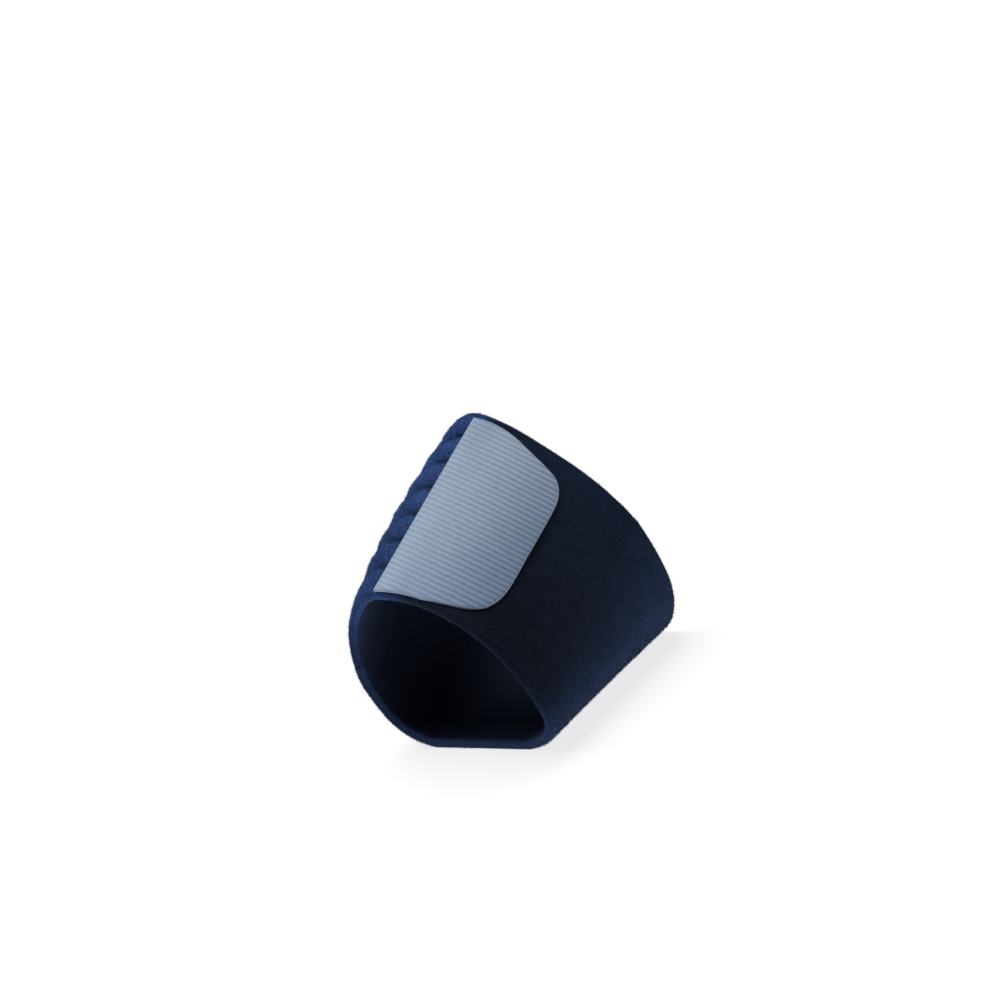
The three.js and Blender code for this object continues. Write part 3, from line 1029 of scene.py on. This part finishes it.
def tape_finish(settings):
    """Ribbed tape: paler rib crests with partly painted shade between them, slubs, a fine grain, wear and a
    sealed cut.

    Painted shade makes the ribs stand out more towards the free end and darkens it there. Painted light
    makes it paler towards the heel.
    """
    finish, start = start_finish("ribbed_tape", gloss(0.1, 0.35, (0.7, 0.82, 1.0), 0.3))
    weave = start.layer("weave")
    from_sewn, along_axis, to_cut = weave.parts()
    wander = weave.clouds(WANDER_SIZES) - 0.5
    slubs = weave.clouds(SLUB_SIZES, detail=3.0, roughness=0.6) - 0.5
    grain = weave.clouds(TAPE_GRAIN_SIZES) - 0.5
    wear = weave.clouds(WEAR_SIZES) - 0.5
    rib = (along_axis + 0.3 * wander).wave(settings.rib_pitch / MM, math.pi) - 0.5
    # Painted shade towards the free end: the tape darkens and its ribs gain painted shade there
    free_end_shade = from_sewn.step(4.0, 34.0)
    sealed = 1 - to_cut.step(0.1, SEALED_MARGIN)
    tone = 0.58 + rib * (0.5 + 0.36 * free_end_shade) - 0.14 * free_end_shade
    tone = tone + slubs * 0.4 + grain * 1.1 + wear * 0.3
    # Painted light towards the heel and painted shade towards the free end, mixed between the two tints
    heelward = (along_axis - 28.0) * (1 / 48.0) * from_sewn.step(3.0, 12.0)
    far = from_sewn.step(16.0, 34.0)
    lit_share = 0.55 + heelward * (1 - 0.5 * far) - 0.3 * far
    shaded_tape, lit_tape = (
        tone.mix(tinted(settings.valley, tint), tinted(settings.crest, tint)) for tint in (SHADED_TAPE_TINT, LIT_TAPE_TINT))
    colour = (sealed * 0.5).mix(lit_share.mix(shaded_tape, lit_tape), settings.margin)
    height = (grain * 0.7 + slubs * 0.5) * (1 - 0.6 * sealed)
    rough = 0.6 + 0.18 * grain - 0.1 * sealed
    return end_finish(finish, {"Base Color": colour, "Roughness": rough, "Normal": height.bump(TAPE_BUMP)})


def floor_finish(settings):
    """A pale matt floor with a trace of unevenness, lit a little from below like a light table."""
    matt = {"Specular IOR Level": 0.1, "Roughness": 0.95}
    finish, start = start_finish("pale_floor", {**matt, "Emission Strength": settings.floor_glow})
    cloud = start.node("ShaderNodeTexCoord", {}, {}, "Object").clouds(FLOOR_CLOUD_SIZES)
    colour = cloud.mix(shaded(settings.floor, 0.985), settings.floor)
    return end_finish(finish, {"Base Color": colour, "Emission Color": colour})


# Operators


class BAND_OT_plush_cuff(Operator):
    """Plush cuff: cloth that runs from the closing seam under the sole to the outer seam, and its pile"""

    bl_idname = "band.plush_cuff"
    bl_label = "Plush cuff"

    def execute(self, context):
        settings = context.scene.band_plush
        finish = pile_cloth_finish("plush_cloth", settings, settings)
        # The plush cloth's tone carries the pile's painted light and shade
        cloth = make_cloth("plush_cloth", plush_surface, plush_lining, PLUSH_ENDS, CLOTH_STEP, painted_pile_light, finish)
        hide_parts("plush_band")

        def trim(arc, across, root, out):
            return np.where(under_tab(arc, across), 0, smooth_step(root[:, 2] + out[:, 2], *SOLE_TRIM))

        tuft = tuft_finish("plush_tuft", settings, settings)
        pile = make_pile(
            "plush_pile", plush_surface, PLUSH_ENDS, settings.pile_count, settings, PLUSH_PILE_SEED,
            trim, tuft)
        return {"FINISHED"}


class BAND_OT_quilted_panel(Operator):
    """Quilted panel: padded cloth from the closing seam over the top to the outer seam, and its pile"""

    bl_idname = "band.quilted_panel"
    bl_label = "Quilted panel"

    def execute(self, context):
        settings = context.scene.band_quilt
        plush = context.scene.band_plush
        quilting = quilting_of(settings.stitch_step, settings.stitch_sink)

        # The pile's tone with its painted light, and painted shade in the stitch grooves
        def shade(arc, across):
            return painted_pile_light(arc, across) * (1 - quilting.groove(arc, across))

        def trim(arc, across, root, out):
            trimmed = np.maximum(1 - GROOVE_TRIM * quilting.groove(arc, across), 0)
            return np.where(under_tab(arc, across), 0, trimmed)

        finish = pile_cloth_finish("quilt_cloth", settings, plush)
        panel = make_cloth(
            "quilted_cloth", quilting.surface, quilting.lining, QUILT_ENDS, QUILT_STEP, shade, finish)
        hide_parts("quilted_panel")
        tuft = tuft_finish("quilt_tuft", settings, plush)
        pile = make_pile(
            "quilt_pile", quilting.surface, QUILT_ENDS, settings.pile_count, plush, QUILT_PILE_SEED,
            trim, tuft)
        return {"FINISHED"}


class BAND_OT_stitching(Operator):
    """Stitching: thread stitches along the channels of the quilted panel"""

    bl_idname = "band.stitching"
    bl_label = "Stitching"

    def execute(self, context):
        settings = context.scene.band_quilt
        quilting = quilting_of(settings.stitch_step, settings.stitch_sink)
        points, faces, layer = stitch_tubes(quilting, settings.thread_width / MM)
        stitches = make_piece("quilt_stitches", points, faces, "thread", layer, thread_finish(settings))
        return {"FINISHED"}


class BAND_OT_closing_tab(Operator):
    """Closing tab: ribbed tape that grips the plush"""

    bl_idname = "band.closing_tab"
    bl_label = "Closing tab"

    def execute(self, context):
        settings = context.scene.band_tab
        outer, inner, layer = tab_grids(settings)
        points, faces = closed_cloth(outer, inner)
        tab = make_piece("ribbed_tab", points, faces, "weave", layer, tape_finish(settings))
        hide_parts("closure_tab")
        width = TAB_HEEL - TAB_TOE
        length = TAB_CURVE[:, 1].max()
        area = (np.diff(TAB_CURVE[:, 0]) * (TAB_CURVE[1:, 1] + TAB_CURVE[:-1, 1]) / 2).sum()
        width * MM
        length * MM
        area * MM * MM
        return {"FINISHED"}


class BAND_OT_stage(Operator):
    """Stage: pale floor, soft light and the camera"""

    bl_idname = "band.stage"
    bl_label = "Stage"

    def execute(self, context):
        settings = context.scene.band_stage
        self.lay_floor(settings)
        self.light(context.scene, settings)
        self.aim_camera(context.scene)
        return {"FINISHED"}

    def lay_floor(self, settings):
        """A round floor: rings of points out to its radius, just under the sole."""
        rings, sides, drop = 8, 64, -0.0001
        radius = settings.floor_radius * np.linspace(0, 1, rings + 1)[1:] ** 3
        turn = np.linspace(0, 2 * math.pi, sides, endpoint=False)
        x = np.outer(radius, np.cos(turn)).ravel()
        y = np.outer(radius, np.sin(turn)).ravel()
        points = np.stack([x, y, np.full(x.shape, drop)], axis=-1)
        index = np.arange(rings * sides).reshape(rings, sides)
        after = np.roll(index, -1, axis=1)
        around = quads(index[:-1], index[1:], after[1:], after[:-1])
        floor = new_object("floor", points, [index[0].tolist(), *around.tolist()])
        floor.data.materials.append(floor_finish(settings))

    def light(self, scene, settings):
        """One soft key light from the upper left of the picture, and weak light from all round."""
        lamp = bpy.data.lights.new("soft_key", "SUN")
        lamp.energy = settings.key_strength
        lamp.angle = settings.key_softness
        key = bpy.data.objects.new("soft_key", lamp)
        key.matrix_world = Vector(TOWARD_KEY).normalized().to_track_quat("Z", "Y").to_matrix().to_4x4()
        scene.collection.objects.link(key)
        world = bpy.data.worlds.new("studio")
        world.use_nodes = True
        scene.world = world
        background = world.node_tree.nodes["Background"]
        background.inputs["Color"].default_value = (1, 1, 1, 1)
        seen = Signal(world.node_tree).node("ShaderNodeLightPath", {}, {}, "Is Camera Ray")
        strength = seen * (1 - settings.ambient) + settings.ambient
        world.node_tree.links.new(strength.socket, background.inputs["Strength"])
        scene.view_settings.view_transform = "Standard"

    def aim_camera(self, scene):
        """The camera stands back from the cuff's middle, and aims so that it falls on its own pixel."""
        flat = math.cos(CAMERA_ELEVATION)
        x, y = math.cos(CAMERA_AZIMUTH), math.sin(CAMERA_AZIMUTH)
        level = Vector((x, y, 0))
        back = Vector((y * flat, -x * flat, math.sin(CAMERA_ELEVATION)))
        up = back.cross(level) * math.cos(CAMERA_ROLL) + level * math.sin(CAMERA_ROLL)
        right = up.cross(back)
        centre = Vector(CAMERA_CENTRE)
        middle = IMAGE_SIDE / 2
        aim = centre + right * ((middle - CENTRE_PIXEL[0]) / PIXELS_A_MM)
        aim += up * ((CENTRE_PIXEL[1] - middle) / PIXELS_A_MM)
        spot = centre + back * CAMERA_DISTANCE
        away = (spot - aim).normalized()
        side = up.cross(away).normalized()
        turn = Matrix((side, away.cross(side), away)).transposed()
        lens = bpy.data.cameras.new("camera")
        lens.sensor_width = SENSOR_WIDTH
        lens.lens = SENSOR_WIDTH * PIXELS_A_MM * CAMERA_DISTANCE / IMAGE_SIDE
        lens.clip_end = 200
        camera = bpy.data.objects.new("camera", lens)
        camera.matrix_world = Matrix.Translation(spot * MM) @ turn.to_4x4()
        scene.collection.objects.link(camera)
        scene.camera = camera


GROUPS = {
    "band_plush": PlushSettings,
    "band_quilt": QuiltSettings,
    "band_tab": TabSettings,
    "band_stage": StageSettings,
}
OPERATORS = {
    BAND_OT_plush_cuff: "band_plush",
    BAND_OT_quilted_panel: "band_quilt",
    BAND_OT_stitching: "band_quilt",
    BAND_OT_closing_tab: "band_tab",
    BAND_OT_stage: "band_stage",
}


class BAND_PT_pieces(Panel):
    """Lists the pieces of the band and their settings."""

    bl_label = "Support Band"
    bl_space_type = "VIEW_3D"
    bl_region_type = "UI"
    bl_category = "Support Band"

    def draw(self, context):
        for group in GROUPS:
            box = self.layout.box()
            for operator, own_group in OPERATORS.items():
                if own_group == group:
                    box.operator(operator.bl_idname)
            settings = getattr(context.scene, group)
            for name in settings.bl_rna.properties.keys():
                if name not in ("rna_type", "name"):
                    box.prop(settings, name)


def register():
    for name, group in GROUPS.items():
        bpy.utils.register_class(group)
        setattr(bpy.types.Scene, name, PointerProperty(type=group))
    for kind in (*OPERATORS, BAND_PT_pieces):
        bpy.utils.register_class(kind)


def unregister():
    for kind in (BAND_PT_pieces, *reversed(OPERATORS)):
        bpy.utils.unregister_class(kind)
    for name, group in GROUPS.items():
        delattr(bpy.types.Scene, name)
        bpy.utils.unregister_class(group)


def main():
    register()
    bpy.ops.band.plush_cuff()
    bpy.ops.band.quilted_panel()
    bpy.ops.band.stitching()
    bpy.ops.band.closing_tab()
    bpy.ops.band.stage()


if __name__ == "__main__":
    main()
